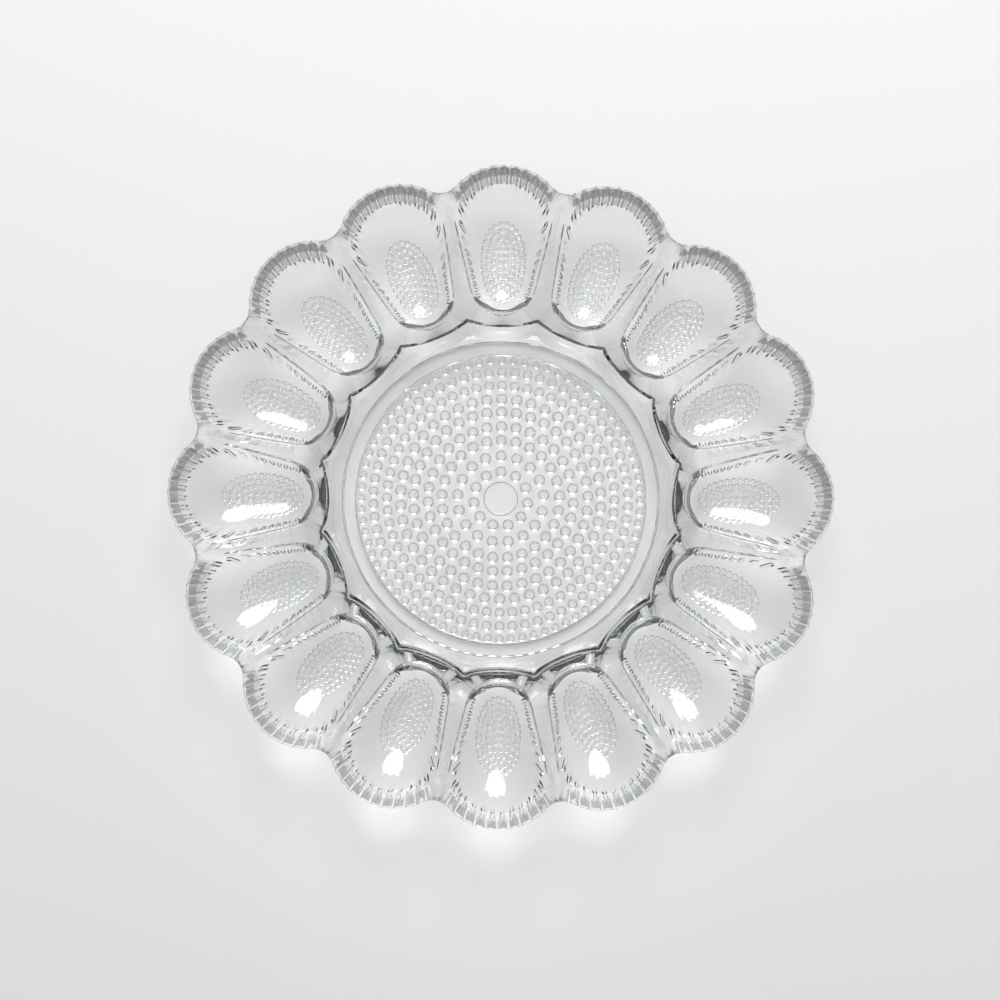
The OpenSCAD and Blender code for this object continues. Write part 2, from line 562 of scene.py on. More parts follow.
@dataclass
class Bay:
    """One of the sixteen bays: an egg cup with its land, lobe of rim and facet of the well."""

    plate: PlateSizes
    form: CupForm
    fan_y: float = 101 * MM
    edge_round: float = 0.5 * MM
    crown_round: float = 1.3 * MM
    foot_round: float = 0.9 * MM
    lip_h: float = 1.9 * MM
    rim_flutes: int = 5
    flute_step: float = math.radians(10.2)
    corner_flutes: int = 2
    flank_flutes: int = 8
    flank_step: float = math.radians(6.3)
    flank_growth: float = math.radians(0.35)
    rim_shares: Shares = (0, 0.2, 0.41, 0.59, 0.8)
    flank_shares: Shares = (0.1, 0.36, 0.62, 0.88)
    groove_from: float = 0.3
    groove_to: float = 0.7
    lip_scallop: float = 0.4 * MM
    lip_even_share: float = 0.72
    lip_top: Steps = (
        (0.45 * MM, 0.0),
        (0.13 * MM, 0.13 * MM),
        (0.0, 0.42 * MM),
    )
    lip_foot: Steps = ((0.04 * MM, 0.4 * MM), (0.4 * MM, 0.0))
    wall_groove: float = 1.3 * MM
    flank_groove: float = 1.1 * MM
    divider_half: float = 0.4 * MM
    groove_start_share: float = 0.07
    groove_end_share: float = 0.6
    scallop_end_share: float = 0.2
    mouth_bend: float = 0.55
    hollow_shares: Shares = (0.055, 0.13, 0.22, 0.33, 0.45, 0.58, 0.72, 0.86, 1)
    under_shares: Shares = (0, 0.07, 0.16, 0.27, 0.39, 0.51, 0.64, 0.8, 1)
    valley_blend: float = 2.2 * MM
    valley_gap: float = 2.3 * MM
    back_step_w: float = 1.9 * MM
    back_step_h: float = 3.2 * MM
    back_step_parts: Steps = ((0.42, 0.55), (0.58, 0.5))
    back_gap: float = 2.5 * MM
    end_fill: float = 2.2 * MM
    well_angle: float = 0.8 * math.pi
    slope_step: float = 0.125 * MM
    lip_slant: float = math.radians(40)
    web_slant: float = math.radians(35)
    end_spokes: int = 8
    hob_y: float = 110 * MM
    hob_reach_y: float = 18.4 * MM
    hob_reach_x: float = 10.3 * MM
    hob_row_y: float = 3.2 * MM
    hob_row_x: float = 2.7 * MM
    hob_rows: tuple[int, ...] = (31, 25, 19)
    hob_pairs: int = 5
    pair_step: float = 3.2 * MM
    pair_x: float = 1.4 * MM
    end_hob_y: float = 9.1 * MM
    hob_r: float = 1.33 * MM
    hob_h: float = 0.85 * MM
    field_margin: float = 2.2 * MM
    hob_field: HobnailField = HobnailField(8, (0.74,))
    spokes: list[Spoke] = field(init=False)

    def __post_init__(self) -> None:
        """Lays out the spokes."""
        self.spokes = self._lay_spokes()

    def _angle_of(self, spot: Vector) -> float:
        """Angle of a place as seen from the fan's centre."""
        return math.atan2(spot.x, spot.y - self.fan_y)

    def _lay_spokes(self) -> list[Spoke]:
        """Sets the spokes of the bay's right half so that they follow its flutes and corners.

        Returns:
            The spokes from the crest of the lobe to the middle of the well's facet.
        """
        plate = self.plate
        ridges = []
        for k in range(self.rim_flutes + 1):
            turn = k * self.flute_step
            x, y = plate.lobe_r * math.sin(turn), plate.lobe_y + plate.lobe_r * math.cos(turn)
            ridges.append(math.atan2(x, y - self.fan_y))
        last = ridges[-1]
        for k in range(1, self.corner_flutes + self.flank_flutes + 1):
            ridges.append(last + self.flank_step * k + self.flank_growth * k * k)
        spokes = []
        for k, (start, stop) in enumerate(zip(ridges, ridges[1:])):
            rim = k < self.rim_flutes + self.corner_flutes
            for part in self.rim_shares if rim else self.flank_shares:
                spoke = Spoke(start + (stop - start) * part)
                if self.groove_from < part < self.groove_to:
                    spoke.groove = self.wall_groove if rim else self.flank_groove
                if rim:
                    spoke.divider = min(part, 1 - part)
                if k < self.rim_flutes:
                    spoke.scallop = 1 - (2 * part - 1) ** 2
                spokes.append(spoke)
        for k in range(self.end_spokes + 1):
            spokes.append(Spoke(ridges[-1] + (math.pi - ridges[-1]) * k / self.end_spokes))
        self._snap(spokes)
        return spokes

    def _snap(self, spokes: list[Spoke]) -> None:
        """Turns the nearest spokes to the bay's corners, and says what each runs out to.

        Args:
            spokes: Spokes of the right half in order.
        """
        top_corner = self._angle_of(self.plate.bow_spot(self.crown_bow, 1, 0))
        under_corner = self._angle_of(self.plate.bow_spot(self.foot_bow, 1, 0))
        free = spokes[1:-1]
        for corner in (self.lip_corner, top_corner, under_corner):
            nearest = min(free, key=lambda spoke: abs(spoke.angle - corner))
            nearest.angle = corner
            free.remove(nearest)
        spokes.sort(key=lambda spoke: spoke.angle)
        for spoke in spokes:
            if spoke.angle <= self.lip_corner:
                spoke.top_edge = spoke.under_edge = Edge.LIP
            if spoke.angle >= top_corner:
                spoke.top_edge = Edge.WELL
            if spoke.angle >= under_corner:
                spoke.under_edge = Edge.WELL

    @property
    def lip_corner(self) -> float:
        """Angle of the corner between the rim and the side of the bay."""
        return self._angle_of(self.plate.side_ahead * self.plate.valley_r)

    @property
    def crown_bow(self) -> float:
        """Radius of the bow along which the land ends at the well."""
        return self.plate.top_bow - self.crown_round

    @property
    def foot_bow(self) -> float:
        """Radius of the bow along which the step round the floor's table side ends."""
        inner = self.plate.bow_r(self.plate.under_z) - self.plate.glass_t - self.back_gap
        return inner - self.back_step_w

    def _spot(self, spoke: Spoke, reach: float, z: float) -> Vector:
        """Place on a spoke at a distance from the fan's centre."""
        return Vector((0, self.fan_y, z)) + spoke.ahead * reach

    def _land_spot(self, spoke: Spoke, reach: float, below: float = 0.0) -> Vector:
        """Finds a place on a spoke, on or below the land.

        Args:
            spoke: The spoke.
            reach: Distance from the fan's centre.
            below: Depth below the land.

        Returns:
            The place.
        """
        spot = self._spot(spoke, reach, 0)
        spot.z = self.plate.land_z(spot.x, spot.y) - below
        return spot

    def _lip_reach(self, angle: float) -> float:
        """Measures from the fan's centre to the rim's outline, which is rounded in the valley.

        Args:
            angle: Angle of the measure.

        Returns:
            The distance.
        """
        lobe = self._circle_reach(angle, self.plate.lobe_y, self.plate.lobe_r)
        valley = self._circle_reach(angle, 0, self.plate.valley_r)
        return -smooth_least(-lobe, -valley, self.valley_blend)

    def _circle_reach(self, angle: float, centre_y: float, radius: float) -> float:
        """Measures from the fan's centre out to a circle round it.

        Args:
            angle: Angle of the measure.
            centre_y: Where the circle's centre lies on the bay's middle line.
            radius: Radius of the circle.

        Returns:
            The distance.
        """
        offset = centre_y - self.fan_y
        along = offset * math.cos(angle)
        return along + math.sqrt(radius**2 - offset**2 + along**2)

    def _side_reach(self, angle: float) -> float:
        """Distance from the fan's centre to the side of the bay."""
        slope = math.tan(self.plate.half_step)
        return self.fan_y * slope / (math.sin(angle) - math.cos(angle) * slope)

    def _lip_out(self, spoke: Spoke) -> tuple[Vector, Vector]:
        """Gives the rim's outline on a spoke and the direction straight out of it.

        Args:
            spoke: The spoke.

        Returns:
            The place on the land and the outward direction in plan.
        """
        angles = (spoke.angle - SMALL_TURN, spoke.angle + SMALL_TURN)
        before, after = (plan_ahead(angle) * self._lip_reach(angle) for angle in angles)
        along = (after - before).normalized()
        return self._land_spot(spoke, self._lip_reach(spoke.angle)), along.cross(-UP)

    def _lip_depth(self, spoke: Spoke) -> float:
        """Depth of the lip, which grows from the lobe into the valley."""
        part = share_of(spoke.angle / self.lip_corner, self.lip_even_share, 1)
        return self.lip_h + (self.plate.rim_t - self.lip_h) * part * part * (3 - 2 * part)

    def _lip_rows(self, spoke: Spoke) -> Row:
        """Places down the lip of the rim, from the land to its underside.

        Args:
            spoke: A spoke that runs out to the lip.

        Returns:
            Five places in order.
        """
        edge, out = self._lip_out(spoke)
        depth = self._lip_depth(spoke)
        foot = tuple((inset, depth - up) for inset, up in self.lip_foot)
        rows = []
        for inset, below in self.lip_top + foot:
            spot = edge - out * (inset + spoke.scallop * self.lip_scallop)
            spot.z = self.plate.land_z(spot.x, spot.y) - below
            rows.append(spot)
        return rows

    def _top_start(self, spoke: Spoke) -> Vector:
        """Finds where a spoke's top ends at the edge of the bay.

        Args:
            spoke: The spoke.

        Returns:
            The place, which lies on the land.
        """
        if spoke.top_edge is Edge.LIP:
            return self._lip_rows(spoke)[0]
        if spoke.top_edge is Edge.SIDE:
            return self._land_spot(spoke, self._side_reach(spoke.angle))
        reach = self._circle_reach(spoke.angle, self.plate.facet_y, self.crown_bow)
        return self._land_spot(spoke, reach)

    def _mouth_reach(self, spoke: Spoke) -> float:
        """Measures from the fan's centre to the edge of the cup's mouth.

        Args:
            spoke: Spoke of the measure.

        Returns:
            The distance.
        """
        return zero_between(
            0, FAR, lambda reach: self.form.depth_inside(self._land_spot(spoke, reach), 0)
        )

    def _shell_track(self, spoke: Spoke, start: Vector, stop: Vector, grow_by: float) -> Track:
        """Walks down the cup's form in a spoke's cut, between two places on it.

        Args:
            spoke: The spoke.
            start: Upper place.
            stop: Lower place.
            grow_by: How far the form is grown beyond the hollow.

        Returns:
            The track from start to stop.
        """
        eye = self._land_spot(spoke, 0)
        first, last = (
            math.atan2(eye.z - spot.z, (spot - eye).xy.length) for spot in (start, stop)
        )
        spots = []
        for k in range(TRACK_STEPS + 1):
            fall = first + (last - first) * k / TRACK_STEPS
            ray = spoke.ahead * math.cos(fall) - UP * math.sin(fall)
            far = zero_between(
                0, FAR, lambda reach: self.form.depth_inside(eye + ray * reach, grow_by)
            )
            spots.append(eye + ray * far)
        return Track(spots)

    def _top_rows(self, spoke: Spoke) -> tuple[Row, Row]:
        """Places on the top of a spoke.

        Args:
            spoke: The spoke.

        Returns:
            The places on the land and mouth, and those down the hollow to its bottom.
        """
        reach = self._mouth_reach(spoke)
        corner = self._land_spot(spoke, reach)
        land_in = self._land_spot(spoke, reach + self.edge_round)
        bottom = self._spot(spoke, 0, self.form.height_under(0, self.fan_y, 0))
        track = self._shell_track(spoke, corner, bottom, 0)
        below = track.walk(self.edge_round / track.length)[0]
        soft = corner.lerp((land_in + below) / 2, self.mouth_bend)
        hollow = [track.walk(share)[0] for share in self.hollow_shares]
        return [self._top_start(spoke), land_in, soft, below], hollow

    def _field_reach(self, angle: float) -> float:
        """Measures from the fan's centre to the border of the hobnail field, an oval.

        Args:
            angle: Angle of the measure.

        Returns:
            The distance.
        """
        a = self.hob_reach_y + self.field_margin
        b = self.hob_reach_x + self.field_margin
        across, along = math.sin(angle) / b, math.cos(angle) / a
        shift = (self.fan_y - self.hob_y) / a
        square, mixed = across**2 + along**2, along * shift
        return (-mixed + math.sqrt(mixed**2 - square * (shift**2 - 1))) / square

    def _under_rows(self, spoke: Spoke) -> Row:
        """Places on the underside of a spoke, from the bay's edge to the hobnail field.

        Args:
            spoke: The spoke.

        Returns:
            The places in order.
        """
        start, joint = self._under_ends(spoke)
        foot = self._spot(spoke, self._field_reach(spoke.angle), 0)
        foot.z = self._ground(foot)
        track = self._shell_track(spoke, joint, foot, self.plate.glass_t)
        rows = [start]
        for share in self.under_shares:
            spot, along = track.walk(share)
            groove = spoke.groove * max(0.0, 1 - (share / self.groove_end_share) ** 2)
            groove *= share_of(share, 0, self.groove_start_share)
            rim = spoke.scallop * self.lip_scallop * max(0.0, 1 - share / self.scallop_end_share)
            inward = along.cross(spoke.ahead.cross(UP)).normalized()
            rows.append(spot + inward * max(groove, rim))
        return rows

    def _under_ends(self, spoke: Spoke) -> tuple[Vector, Vector]:
        """Gives the ends of the slope between a bay's edge and the outside of the cup.

        Args:
            spoke: The spoke.

        Returns:
            The place at the edge and the place on the cup.
        """
        if spoke.under_edge is Edge.LIP:
            return self._lip_ends(spoke)
        plate = self.plate
        well = share_of(spoke.angle, self.end_angle, self.well_angle)
        inset = self.end_fill * well - self.edge_round * (1 - well)
        joint = self._spot(spoke, self._mouth_reach(spoke) - inset, 0)
        joint.z = self._ground(joint)
        skirt = plate.under_z + self.back_step_h
        if spoke.under_edge is Edge.WELL:
            reach = self._circle_reach(spoke.angle, plate.facet_y, self.foot_bow)
            return self._spot(spoke, reach, skirt), joint
        start = self._land_spot(spoke, self._side_reach(spoke.angle), plate.rim_t)
        slope = math.tan(self.web_slant)
        skirt += (start.xy.length - plate.bow_spot(self.foot_bow, 1, 0).length) * slope
        start.z = min(start.z, joint.z + (start - joint).xy.length * slope, skirt)
        return start, joint

    def _lip_ends(self, spoke: Spoke) -> tuple[Vector, Vector]:
        """Gives the ends of the slope between the lip and the outside of the cup.

        Args:
            spoke: A spoke that runs out to the lip.

        Returns:
            The place at the edge and the place on the cup, or the nearest to it.
        """
        start = self._lip_rows(spoke)[-1]
        slant = self.lip_slant if spoke.angle < self.web_angle else self.web_slant
        fall = -spoke.ahead * math.cos(slant) - UP * math.sin(slant)
        spots = [start + fall * self.slope_step * k for k in range(SLOPE_STEPS)]
        depths = [self.form.depth_inside(spot, self.plate.glass_t) for spot in spots]
        if max(depths) >= 0:
            return start, next(spot for spot, depth in zip(spots, depths) if depth >= 0)
        joint = spots[depths.index(max(depths))]
        joint.z = self._ground(joint)
        return start, joint

    @property
    def web_angle(self) -> float:
        """Angle beyond which the glass between two cups is filled with a gentle slope."""
        side = self.plate.side_ahead
        return self._angle_of(side * self.plate.valley_r - side.cross(UP) * self.valley_gap)

    @property
    def end_angle(self) -> float:
        """Angle of the last groove, beyond which the underside eases down to the well."""
        return max(spoke.angle for spoke in self.spokes if spoke.groove > 0)

    def _hobs(self) -> list[Hobnail]:
        """Sets out the hobnails under the cup in ovals round two straight lines.

        Returns:
            The hobnails.
        """
        spots = []
        for row, count in enumerate(self.hob_rows):
            a = self.hob_reach_y - row * self.hob_row_y
            b = self.hob_reach_x - row * self.hob_row_x
            turns = [FULL_TURN * k / OVAL_STEPS for k in range(OVAL_STEPS + 1)]
            oval = Track([Vector((b * math.sin(t), a * math.cos(t), 0)) for t in turns])
            spots += [oval.walk((k + 0.5) / count)[0] for k in range(count)]
        for k in range(self.hob_pairs):
            y = (k - (self.hob_pairs - 1) / 2) * self.pair_step
            spots += [Vector((side * self.pair_x, y, 0)) for side in (-1, 1)]
        spots += [Vector((0, side * self.end_hob_y, 0)) for side in (1, -1)]
        hobs = []
        for spot in spots:
            spot.y += self.hob_y
            spot.z = self._ground(spot)
            east = self._ground(spot + Vector((PROBE, 0, 0))) - spot.z
            north = self._ground(spot + Vector((0, PROBE, 0))) - spot.z
            outward = Vector((east, north, -PROBE)).normalized()
            hobs.append(Hobnail(spot, outward, self.hob_r, self.hob_h))
        return hobs

    def _ground(self, spot: Vector) -> float:
        """Height of the cup's underside at a place."""
        return self.form.height_under(spot.x, spot.y, self.plate.glass_t)

    def _wall_rows(self, share: float, top: Vector) -> Row:
        """Places down the front of the well's wall, from its top to the floor.

        Args:
            share: Share of the facet's half width, from -1 to 1.
            top: Where the wall starts.

        Returns:
            The places in order, without the first.
        """
        plate, soft = self.plate, self.foot_round
        x = plate.floor_r * math.tan(plate.half_step) * share
        foot = Vector((x, plate.floor_r, plate.floor_z))
        inner = foot * ((plate.floor_r - soft) / plate.floor_r)
        inner.z = plate.floor_z
        edge = plate.bow_spot(plate.top_bow, share, 0)
        edge.z = plate.land_z(edge.x, edge.y)
        fall = foot - edge
        last = edge + fall * (1 - soft / fall.length)
        bend = (foot + (last + inner) / 2) / 2
        first = edge + fall * (self.crown_round / fall.length)
        crown = (edge + (top + first) / 2) / 2
        return [crown, first, edge + fall / 2, last, bend, inner]

    def build(self) -> BMesh:
        """Builds the bay's glass, open at its sides and at the well's floor.

        Returns:
            The mesh.
        """
        mesh = bmesh.new()
        mesh.verts.layers.float.new(GRAIN)
        around = self._around()
        self._build_top(mesh, around)
        self._build_under(mesh, around)
        return mesh

    def _around(self) -> Around:
        """Lists the spokes all the way round, each with its side of the middle line."""
        left = [(spoke, -1) for spoke in self.spokes[-2:0:-1]]
        return [(spoke, 1) for spoke in self.spokes] + left

    @staticmethod
    def _turned(spots: Row, side: int) -> Row:
        """Mirrors places of the right half to their side of the bay."""
        return [Vector((spot.x * side, spot.y, spot.z)) for spot in spots]

    def _build_top(self, mesh: BMesh, around: Around) -> None:
        """Builds the land, the hollow, the lip and the front of the well's wall.

        Args:
            mesh: Mesh to extend.
            around: The spokes all the way round.
        """
        rows = {spoke.angle: self._top_rows(spoke) for spoke in self.spokes}
        land = [self._turned(rows[spoke.angle][0], side) for spoke, side in around]
        hollow = [self._turned(rows[spoke.angle][1], side) for spoke, side in around][::2]
        first = ring(mesh, [line[0] for line in land])
        verts = grow_lines(mesh, first, land, 1, True)
        inner = ring(mesh, [line[0] for line in hollow])
        bridge = strand(mesh, verts, True) + strand(mesh, inner, True)
        bmesh.ops.bridge_loops(mesh, edges=bridge)
        grow_lines(mesh, inner, hollow, 1, True)
        self._build_lip(mesh, around, first)
        self._build_wall(mesh, around, first)

    def _build_under(self, mesh: BMesh, around: Around) -> None:
        """Builds the underside of the cup and the land, and the back of the well's wall.

        Args:
            mesh: Mesh to extend.
            around: The spokes all the way round.
        """
        rows = {spoke.angle: self._under_rows(spoke) for spoke in self.spokes}
        under = [self._turned(rows[spoke.angle], side) for spoke, side in around]
        verts = first = ring(mesh, [line[0] for line in under])
        for k in range(1, len(under[0])):
            self._mark_grain(mesh, [spoke for spoke, _ in around], verts)
            verts = grow(mesh, [verts], [[line[k] for line in under]], True)[0]
        grain = mesh.verts.layers.float.get(GRAIN)
        for vert in verts:
            vert[grain] = 0
        border = strand(mesh, verts, True)
        self.hob_field.lay(mesh, border, self._hobs(), self._ground)
        foot = [vert for _, _, vert in self._chain(around, first, Edge.WELL, False)]
        lines = []
        for vert in foot:
            line = []
            for inset, height in self._step_profile():
                flat = vert.co.xy * (1 - inset / vert.co.xy.length)
                line.append(Vector((flat.x, flat.y, self.plate.under_z + height)))
            lines.append(line)
        grow_lines(mesh, foot, lines, 0, False)

    def _step_profile(self) -> list[tuple[float, float]]:
        """Lists the way down the step round the floor's table side, to its flat.

        Returns:
            The inset and the height of each place.
        """
        soft, width, height = self.edge_round, self.back_step_w, self.back_step_h
        steps = [(width * part, height * share) for part, share in self.back_step_parts]
        return steps + [(width, soft), (width + soft / 2, 0.0), (width + 2 * soft, 0.0)]

    def _grain(self, spoke: Spoke, place: Vector) -> float:
        """Says how far a place under the rim lies inside one of its grainy blocks.

        Args:
            spoke: Spoke of the place.
            place: The place.

        Returns:
            One more than the distance inside a block in millimetres, or 0 off the rim.
        """
        if spoke.divider is None or spoke.angle > self.web_angle:
            return 0
        beyond = math.hypot(place.x, place.y - self.fan_y) - self._mouth_reach(spoke)
        across = spoke.divider * self.flute_step * self.plate.lobe_r - self.divider_half
        return max(1 + min(beyond, across) / MM, 0)

    def _mark_grain(self, mesh: BMesh, spokes: list[Spoke], verts: Line) -> None:
        """Notes the grain of vertices.

        Args:
            mesh: Mesh that holds them.
            spokes: Spoke of each vertex.
            verts: The vertices in the same order.
        """
        grain = mesh.verts.layers.float.get(GRAIN)
        for spoke, vert in zip(spokes, verts):
            vert[grain] = self._grain(spoke, vert.co)

    @staticmethod
    def _chain(
        around: Around, verts: Line, edge: Edge, top: bool
    ) -> list[tuple[Spoke, int, BMVert]]:
        """Picks the stretch of a bay's border that runs along one kind of edge, in order.

        Args:
            around: The spokes all the way round.
            verts: The border's vertices in the same order.
            edge: The kind of edge.
            top: Whether it is looked up for the top or for the underside.

        Returns:
            The spoke, the side and the vertex of each place.
        """
        whole = [
            (spoke, side, vert)
            for (spoke, side), vert in zip(around, verts)
            if (spoke.top_edge if top else spoke.under_edge) is edge
        ]
        start = 0 if edge is Edge.WELL else -math.pi
        return sorted(whole, key=lambda item: (item[0].angle * item[1] - start) % FULL_TURN)

    def _build_lip(self, mesh: BMesh, around: Around, border: Line) -> None:
        """Extrudes the lip down from the land's edge.

        Args:
            mesh: Mesh to extend.
            around: The spokes all the way round.
            border: Vertices of the land's edge in the same order.
        """
        chain = self._chain(around, border, Edge.LIP, True)
        lines = [self._turned(self._lip_rows(spoke), side) for spoke, side, _ in chain]
        verts = grow_lines(mesh, [vert for _, _, vert in chain], lines, 1, False)
        self._mark_grain(mesh, [spoke for spoke, _, _ in chain], verts)

    def _build_wall(self, mesh: BMesh, around: Around, border: Line) -> None:
        """Extrudes the front of the well's wall down from the land's edge.

        Args:
            mesh: Mesh to extend.
            around: The spokes all the way round.
            border: Vertices of the land's edge in the same order.
        """
        verts = [vert for _, _, vert in self._chain(around, border, Edge.WELL, True)]
        half = self.plate.bow_half(self.crown_bow)
        lines = [self._wall_rows(vert.co.x / half, vert.co.copy()) for vert in verts]
        grow_lines(mesh, verts, lines, 0, False)


@dataclass
class Well:
    """Floor of the well with its foot ring, its hobnails and its plain disc."""

    plate: PlateSizes
    foot_in: float = 3.9 * MM
    foot_w: float = 6.6 * MM
    foot_flat: float = 5.8 * MM
    foot_soft: float = 0.3 * MM
    floor_inset: float = 4 * MM
    disc_r: float = 7.9 * MM
    disc_h: float = 0.6 * MM
    disc_steps: Steps = (
        (0.1 * MM, 0.35),
        (0.35 * MM, 0.8),
        (0.7 * MM, 1.0),
        (2 * MM, 1.0),
    )
    disc_segments: int = 48
    split_segments: int = 96
    first_r: float = 12.6 * MM
    last_in: float = 5.6 * MM
    ring_clear: float = 1.1 * MM
    hob_clear: float = 1.45 * MM
    hob_h: float = 1.8 * MM
    gap_shares: Shares = (0, 1.14, 1.12, 0.98, 1.04, 0.92, 0.97, 0.97, 0.86)
    size_shares: Shares = (1, 1, 1, 1, 1, 1, 0.9, 0.9, 0.72)
    pitch_shares: Shares = (1.06, 1.07, 1, 1, 1, 1.01, 0.87, 0.87, 0.78)
    hob_field: HobnailField = HobnailField(10, (0.82, 0.5))

    @property
    def foot_r(self) -> float:
        """Radius of the middle of the foot ring."""
        return self.plate.floor_r - self.foot_in

    def close(self, mesh: BMesh) -> None:
        """Closes the open middle of the plate, above and below.

        Args:
            mesh: Mesh of all the bays.
        """
        plate = self.plate
        verts, _ = extrude(mesh, self._open_edges(mesh, plate.floor_z))
        for vert in verts:
            vert.co.xy *= 1 - self.floor_inset / plate.floor_r
        bmesh.ops.contextual_create(mesh, geom=self._open_edges(mesh, plate.floor_z))
        edges = self._open_edges(mesh, plate.under_z)
        for radius, z in self._foot_outline():
            verts, edges = extrude(mesh, edges)
            for vert in verts:
                vert.co.xy *= radius / vert.co.xy.length
                vert.co.z = z
        self._lay_ground(mesh, edges)

    def _foot_outline(self) -> list[tuple[float, float]]:
        """Lists the radii and heights round the foot ring, from its outer side inwards.

        Returns:
            The radius and the height of each step.
        """
        half, flat, soft = self.foot_w / 2, self.foot_flat / 2, self.foot_soft
        low = self.plate.under_z - soft
        offsets = (
            (half + soft, self.plate.under_z),
            (half, low),
            (flat, soft),
            (flat - soft, 0),
            (soft - flat, 0),
            (-flat, soft),
            (-half, low),
            (-half - soft / 2, self.plate.under_z),
        )
        return [(self.foot_r + offset, z) for offset, z in offsets]

    @staticmethod
    def _open_edges(mesh: BMesh, z: float) -> list[BMEdge]:
        """Lists the open edges that lie level at a height.

        Args:
            mesh: Mesh that holds them.
            z: The height.

        Returns:
            The edges.
        """
        return [
            edge
            for edge in mesh.edges
            if edge.is_boundary and all(abs(vert.co.z - z) < WELD for vert in edge.verts)
        ]

    def _lay_ground(self, mesh: BMesh, border: list[BMEdge]) -> None:
        """Lays the ground inside the foot ring with its hobnails and the plain disc.

        Args:
            mesh: Mesh to extend.
            border: Edges round the ground.
        """
        z = self.plate.under_z
        rings = self._rings()[::-1]
        splits = [(outer + inner) / 2 for (outer, _), (inner, _) in zip(rings, rings[1:])]
        for (_, hobs), size in zip(rings, splits + [self.disc_r]):
            segments = self.disc_segments if size == self.disc_r else self.split_segments
            verts = circle(mesh, segments, size, UP * z)
            inner = strand(mesh, verts, True)
            self.hob_field.lay(mesh, border + inner, hobs, lambda spot: z)
            border = inner
        for inset, share in self.disc_steps:
            spots = []
            for vert in verts:
                spot = vert.co.xy.normalized() * (self.disc_r - inset)
                spots.append(spot.to_3d() + UP * (z - self.disc_h * share))
            verts = grow(mesh, [verts], [spots], True)[0]
        bmesh.ops.contextual_create(mesh, geom=strand(mesh, verts, True))

    def _rings(self) -> list[tuple[float, list[Hobnail]]]:
        """Sets out the hobnails in rings.

        Returns:
            The radius and the hobnails of each ring, from the smallest.
        """
        span = self.foot_r - self.last_in - self.first_r
        step = span / sum(self.gap_shares)
        large = span / (len(self.gap_shares) - 1) - self.ring_clear
        rings = []
        radius = self.first_r
        for gap, size, pitch in zip(self.gap_shares, self.size_shares, self.pitch_shares):
            radius += step * gap
            count = round(FULL_TURN * radius / ((large + self.hob_clear) * pitch))
            hobs = []
            for k in range(count):
                centre = plan_ahead(FULL_TURN * k / count) * radius + UP * self.plate.under_z
                hobs.append(Hobnail(centre, -UP, large * size / 2, self.hob_h * size))
            rings.append((radius, hobs))
        return rings


class NodeBench:
    """Adds nodes to a shader tree, each with its inputs in one call."""

    def __init__(self, tree: bpy.types.NodeTree) -> None:
        """Takes the tree that it adds to."""
        self.tree = tree

    def add(self, kind: str, inputs: dict[str | int, object], operation: str = "") -> Outputs:
        """Adds a node.

        Args:
            kind: Type of the node, without what all shader nodes' types start with.
            inputs: Values of its inputs and sockets to link to them, by name or number.
            operation: Its operation, where it has one.

        Returns:
            The node's outputs.
        """
        node = self.tree.nodes.new("ShaderNode" + kind)
        if operation:
            node.operation = operation
        for name, value in inputs.items():
            if isinstance(value, Socket):
                self.tree.links.new(value, node.inputs[name])
            else:
                node.inputs[name].default_value = value
        return node.outputs

    def above(self, level: float) -> Socket:
        """Marks where the mesh's grain is above a level.

        Args:
            level: The level.

        Returns:
            A socket that is 1 there and 0 elsewhere.
        """
        grain = self.tree.nodes.new("ShaderNodeAttribute")
        grain.attribute_name = GRAIN
        return self.add("Math", {0: grain.outputs["Fac"], 1: level}, "GREATER_THAN")[0]


